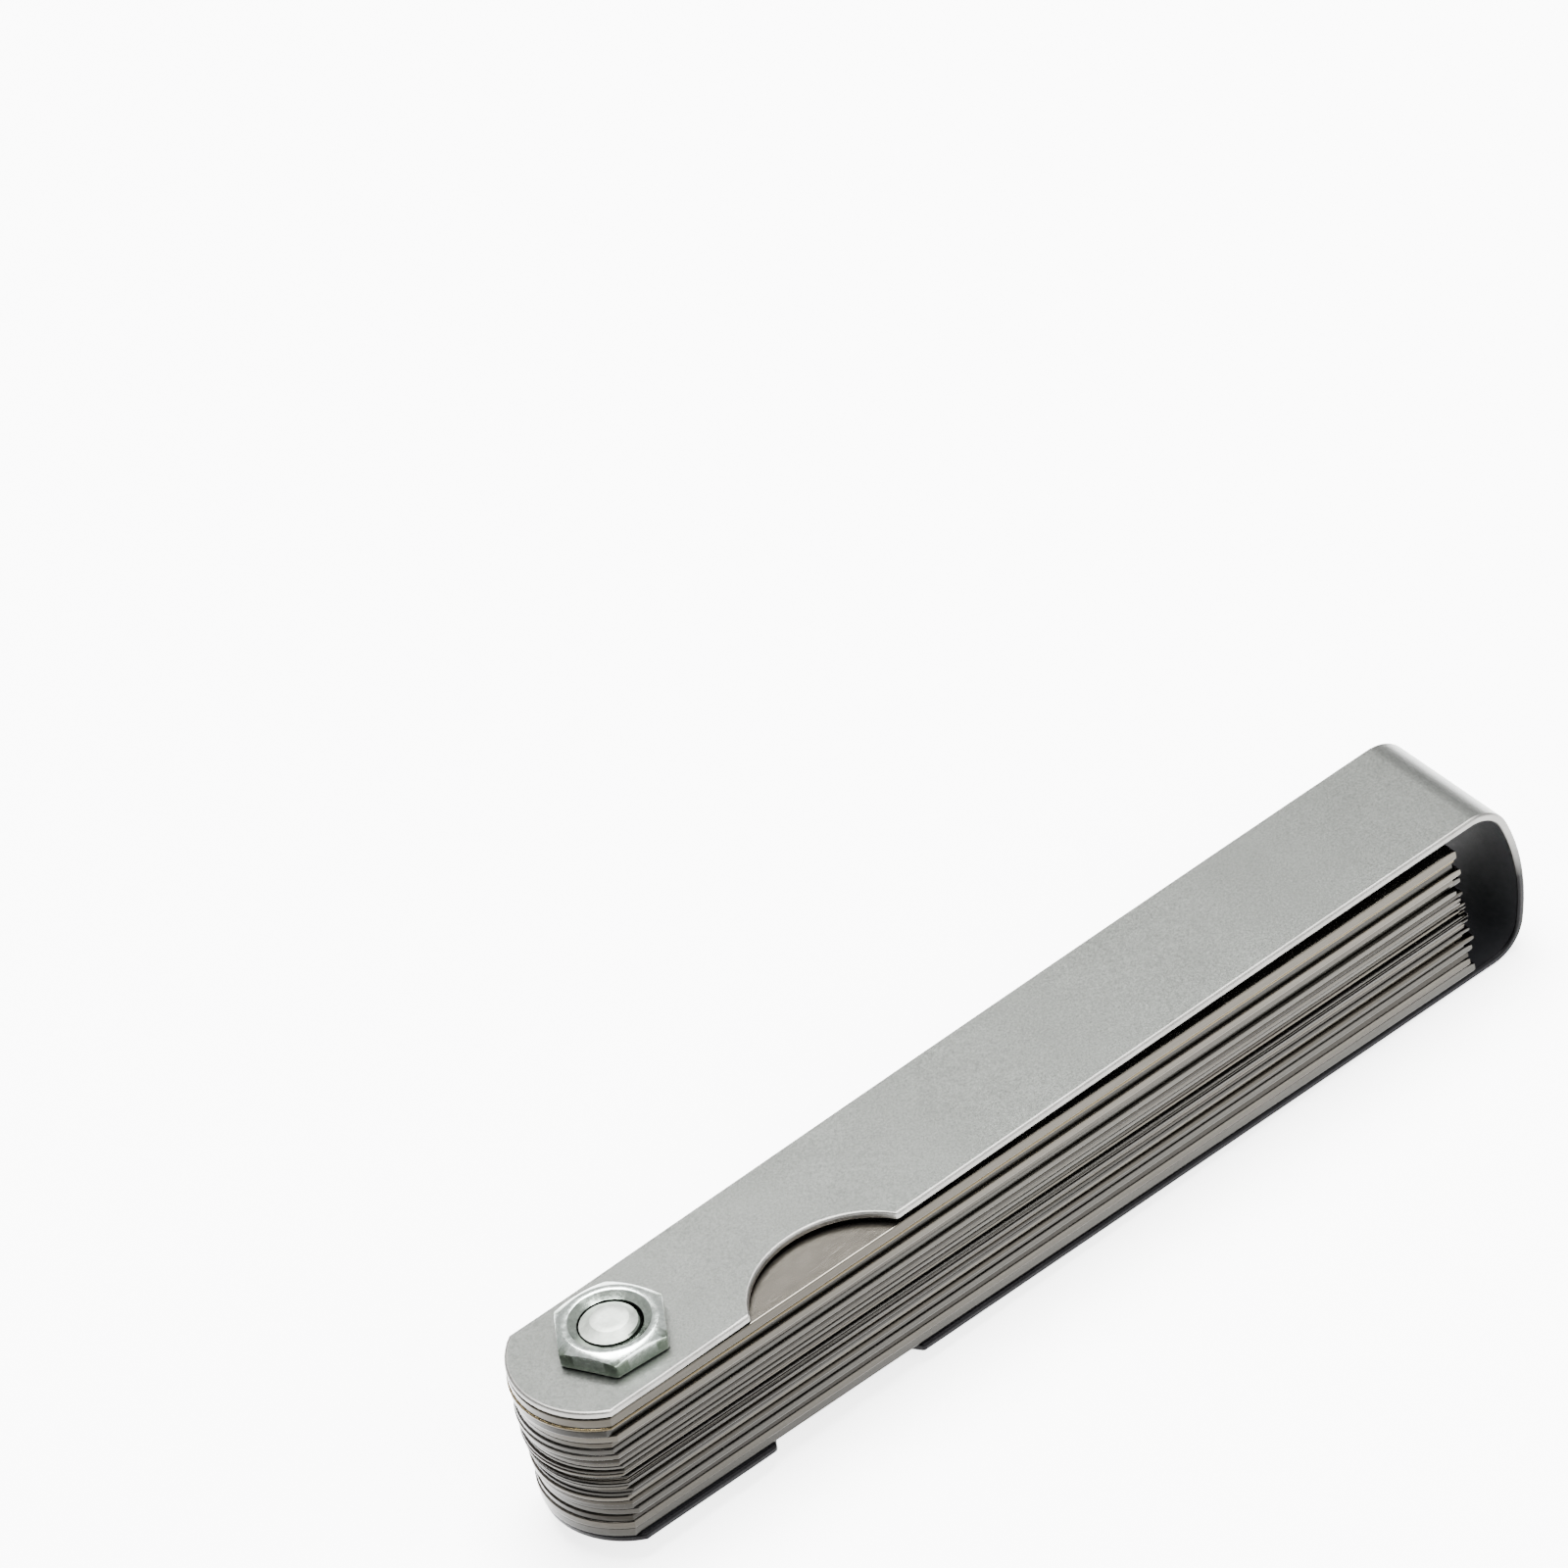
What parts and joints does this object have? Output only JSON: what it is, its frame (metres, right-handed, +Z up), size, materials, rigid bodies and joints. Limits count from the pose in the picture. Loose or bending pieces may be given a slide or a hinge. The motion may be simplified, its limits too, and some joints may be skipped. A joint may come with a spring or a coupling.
{
  "type": "feeler gauge",
  "caption": "Folding feeler gauge: graded flat steel leaves turn on a screw and nut inside a U-shaped sheet case with thumb notches.",
  "frame": {"origin": "middle of the bounding box's base, on the plane of the pivot screw head's underside", "axes": "+Z up along the pivot screw with the nut on top, +X from the pivot to the folded end of the case, -Y the long side with the thumb notches"},
  "size_m": [0.0954, 0.0132, 0.0182],
  "materials": {
    "satin_nickel_sheet": "satin nickel plate on folded sheet steel",
    "ground_spring_steel": "ground spring steel, brushed edges",
    "rolled_brass": "rolled brass strip",
    "bright_zinc": "bright zinc plate"
  },
  "bodies": {
    "case": {"case": "satin_nickel_sheet", "pivot_screw": "bright_zinc", "hex_nut": "bright_zinc"},
    "leaf_0_889mm": {"leaf_0_889mm": "ground_spring_steel"},
    "brass_leaf_0_254mm": {"brass_leaf_0_254mm": "rolled_brass"},
    "leaf_0_762mm": {"leaf_0_762mm": "ground_spring_steel"},
    "leaf_0_660mm": {"leaf_0_660mm": "ground_spring_steel"},
    "leaf_0_610mm": {"leaf_0_610mm": "ground_spring_steel"},
    "leaf_0_559mm": {"leaf_0_559mm": "ground_spring_steel"},
    "leaf_0_508mm": {"leaf_0_508mm": "ground_spring_steel"},
    "leaf_0_457mm": {"leaf_0_457mm": "ground_spring_steel"},
    "leaf_0_406mm": {"leaf_0_406mm": "ground_spring_steel"},
    "leaf_0_356mm": {"leaf_0_356mm": "ground_spring_steel"},
    "leaf_0_305mm": {"leaf_0_305mm": "ground_spring_steel"},
    "leaf_0_254mm": {"leaf_0_254mm": "ground_spring_steel"},
    "leaf_0_203mm": {"leaf_0_203mm": "ground_spring_steel"},
    "leaf_0_152mm": {"leaf_0_152mm": "ground_spring_steel"},
    "leaf_0_102mm": {"leaf_0_102mm": "ground_spring_steel"},
    "leaf_0_064mm": {"leaf_0_064mm": "ground_spring_steel"},
    "leaf_0_038mm": {"leaf_0_038mm": "ground_spring_steel"},
    "leaf_0_051mm": {"leaf_0_051mm": "ground_spring_steel"},
    "leaf_0_076mm": {"leaf_0_076mm": "ground_spring_steel"},
    "leaf_0_127mm": {"leaf_0_127mm": "ground_spring_steel"},
    "leaf_0_178mm": {"leaf_0_178mm": "ground_spring_steel"},
    "leaf_0_229mm": {"leaf_0_229mm": "ground_spring_steel"},
    "leaf_0_279mm": {"leaf_0_279mm": "ground_spring_steel"},
    "leaf_0_330mm": {"leaf_0_330mm": "ground_spring_steel"},
    "leaf_0_381mm": {"leaf_0_381mm": "ground_spring_steel"},
    "leaf_0_432mm": {"leaf_0_432mm": "ground_spring_steel"},
    "leaf_0_483mm": {"leaf_0_483mm": "ground_spring_steel"},
    "leaf_0_533mm": {"leaf_0_533mm": "ground_spring_steel"},
    "leaf_0_584mm": {"leaf_0_584mm": "ground_spring_steel"},
    "leaf_0_635mm": {"leaf_0_635mm": "ground_spring_steel"},
    "leaf_0_711mm": {"leaf_0_711mm": "ground_spring_steel"},
    "leaf_0_813mm": {"leaf_0_813mm": "ground_spring_steel"}
  },
  "joints": [
    {"name": "swing_leaf_0_889mm", "type": "hinge", "parent": "case", "child": "leaf_0_889mm", "pos_m": [-0.03885, 0, 0], "axis": [0, 0, 1], "range_deg": [-180, 180]},
    {"name": "swing_brass_leaf_0_254mm", "type": "hinge", "parent": "case", "child": "brass_leaf_0_254mm", "pos_m": [-0.03885, 0, 0], "axis": [0, 0, 1], "range_deg": [-180, 180]},
    {"name": "swing_leaf_0_762mm", "type": "hinge", "parent": "case", "child": "leaf_0_762mm", "pos_m": [-0.03885, 0, 0], "axis": [0, 0, 1], "range_deg": [-180, 180]},
    {"name": "swing_leaf_0_660mm", "type": "hinge", "parent": "case", "child": "leaf_0_660mm", "pos_m": [-0.03885, 0, 0], "axis": [0, 0, 1], "range_deg": [-180, 180]},
    {"name": "swing_leaf_0_610mm", "type": "hinge", "parent": "case", "child": "leaf_0_610mm", "pos_m": [-0.03885, 0, 0], "axis": [0, 0, 1], "range_deg": [-180, 180]},
    {"name": "swing_leaf_0_559mm", "type": "hinge", "parent": "case", "child": "leaf_0_559mm", "pos_m": [-0.03885, 0, 0], "axis": [0, 0, 1], "range_deg": [-180, 180]},
    {"name": "swing_leaf_0_508mm", "type": "hinge", "parent": "case", "child": "leaf_0_508mm", "pos_m": [-0.03885, 0, 0], "axis": [0, 0, 1], "range_deg": [-180, 180]},
    {"name": "swing_leaf_0_457mm", "type": "hinge", "parent": "case", "child": "leaf_0_457mm", "pos_m": [-0.03885, 0, 0], "axis": [0, 0, 1], "range_deg": [-180, 180]},
    {"name": "swing_leaf_0_406mm", "type": "hinge", "parent": "case", "child": "leaf_0_406mm", "pos_m": [-0.03885, 0, 0], "axis": [0, 0, 1], "range_deg": [-180, 180]},
    {"name": "swing_leaf_0_356mm", "type": "hinge", "parent": "case", "child": "leaf_0_356mm", "pos_m": [-0.03885, 0, 0], "axis": [0, 0, 1], "range_deg": [-180, 180]},
    {"name": "swing_leaf_0_305mm", "type": "hinge", "parent": "case", "child": "leaf_0_305mm", "pos_m": [-0.03885, 0, 0], "axis": [0, 0, 1], "range_deg": [-180, 180]},
    {"name": "swing_leaf_0_254mm", "type": "hinge", "parent": "case", "child": "leaf_0_254mm", "pos_m": [-0.03885, 0, 0], "axis": [0, 0, 1], "range_deg": [-180, 180]},
    {"name": "swing_leaf_0_203mm", "type": "hinge", "parent": "case", "child": "leaf_0_203mm", "pos_m": [-0.03885, 0, 0], "axis": [0, 0, 1], "range_deg": [-180, 180]},
    {"name": "swing_leaf_0_152mm", "type": "hinge", "parent": "case", "child": "leaf_0_152mm", "pos_m": [-0.03885, 0, 0], "axis": [0, 0, 1], "range_deg": [-180, 180]},
    {"name": "swing_leaf_0_102mm", "type": "hinge", "parent": "case", "child": "leaf_0_102mm", "pos_m": [-0.03885, 0, 0], "axis": [0, 0, 1], "range_deg": [-180, 180]},
    {"name": "swing_leaf_0_064mm", "type": "hinge", "parent": "case", "child": "leaf_0_064mm", "pos_m": [-0.03885, 0, 0], "axis": [0, 0, 1], "range_deg": [-180, 180]},
    {"name": "swing_leaf_0_038mm", "type": "hinge", "parent": "case", "child": "leaf_0_038mm", "pos_m": [-0.03885, 0, 0], "axis": [0, 0, 1], "range_deg": [-180, 180]},
    {"name": "swing_leaf_0_051mm", "type": "hinge", "parent": "case", "child": "leaf_0_051mm", "pos_m": [-0.03885, 0, 0], "axis": [0, 0, 1], "range_deg": [-180, 180]},
    {"name": "swing_leaf_0_076mm", "type": "hinge", "parent": "case", "child": "leaf_0_076mm", "pos_m": [-0.03885, 0, 0], "axis": [0, 0, 1], "range_deg": [-180, 180]},
    {"name": "swing_leaf_0_127mm", "type": "hinge", "parent": "case", "child": "leaf_0_127mm", "pos_m": [-0.03885, 0, 0], "axis": [0, 0, 1], "range_deg": [-180, 180]},
    {"name": "swing_leaf_0_178mm", "type": "hinge", "parent": "case", "child": "leaf_0_178mm", "pos_m": [-0.03885, 0, 0], "axis": [0, 0, 1], "range_deg": [-180, 180]},
    {"name": "swing_leaf_0_229mm", "type": "hinge", "parent": "case", "child": "leaf_0_229mm", "pos_m": [-0.03885, 0, 0], "axis": [0, 0, 1], "range_deg": [-180, 180]},
    {"name": "swing_leaf_0_279mm", "type": "hinge", "parent": "case", "child": "leaf_0_279mm", "pos_m": [-0.03885, 0, 0], "axis": [0, 0, 1], "range_deg": [-180, 180]},
    {"name": "swing_leaf_0_330mm", "type": "hinge", "parent": "case", "child": "leaf_0_330mm", "pos_m": [-0.03885, 0, 0], "axis": [0, 0, 1], "range_deg": [-180, 180]},
    {"name": "swing_leaf_0_381mm", "type": "hinge", "parent": "case", "child": "leaf_0_381mm", "pos_m": [-0.03885, 0, 0], "axis": [0, 0, 1], "range_deg": [-180, 180]},
    {"name": "swing_leaf_0_432mm", "type": "hinge", "parent": "case", "child": "leaf_0_432mm", "pos_m": [-0.03885, 0, 0], "axis": [0, 0, 1], "range_deg": [-180, 180]},
    {"name": "swing_leaf_0_483mm", "type": "hinge", "parent": "case", "child": "leaf_0_483mm", "pos_m": [-0.03885, 0, 0], "axis": [0, 0, 1], "range_deg": [-180, 180]},
    {"name": "swing_leaf_0_533mm", "type": "hinge", "parent": "case", "child": "leaf_0_533mm", "pos_m": [-0.03885, 0, 0], "axis": [0, 0, 1], "range_deg": [-180, 180]},
    {"name": "swing_leaf_0_584mm", "type": "hinge", "parent": "case", "child": "leaf_0_584mm", "pos_m": [-0.03885, 0, 0], "axis": [0, 0, 1], "range_deg": [-180, 180]},
    {"name": "swing_leaf_0_635mm", "type": "hinge", "parent": "case", "child": "leaf_0_635mm", "pos_m": [-0.03885, 0, 0], "axis": [0, 0, 1], "range_deg": [-180, 180]},
    {"name": "swing_leaf_0_711mm", "type": "hinge", "parent": "case", "child": "leaf_0_711mm", "pos_m": [-0.03885, 0, 0], "axis": [0, 0, 1], "range_deg": [-180, 180]},
    {"name": "swing_leaf_0_813mm", "type": "hinge", "parent": "case", "child": "leaf_0_813mm", "pos_m": [-0.03885, 0, 0], "axis": [0, 0, 1], "range_deg": [-180, 180]}
  ]
}
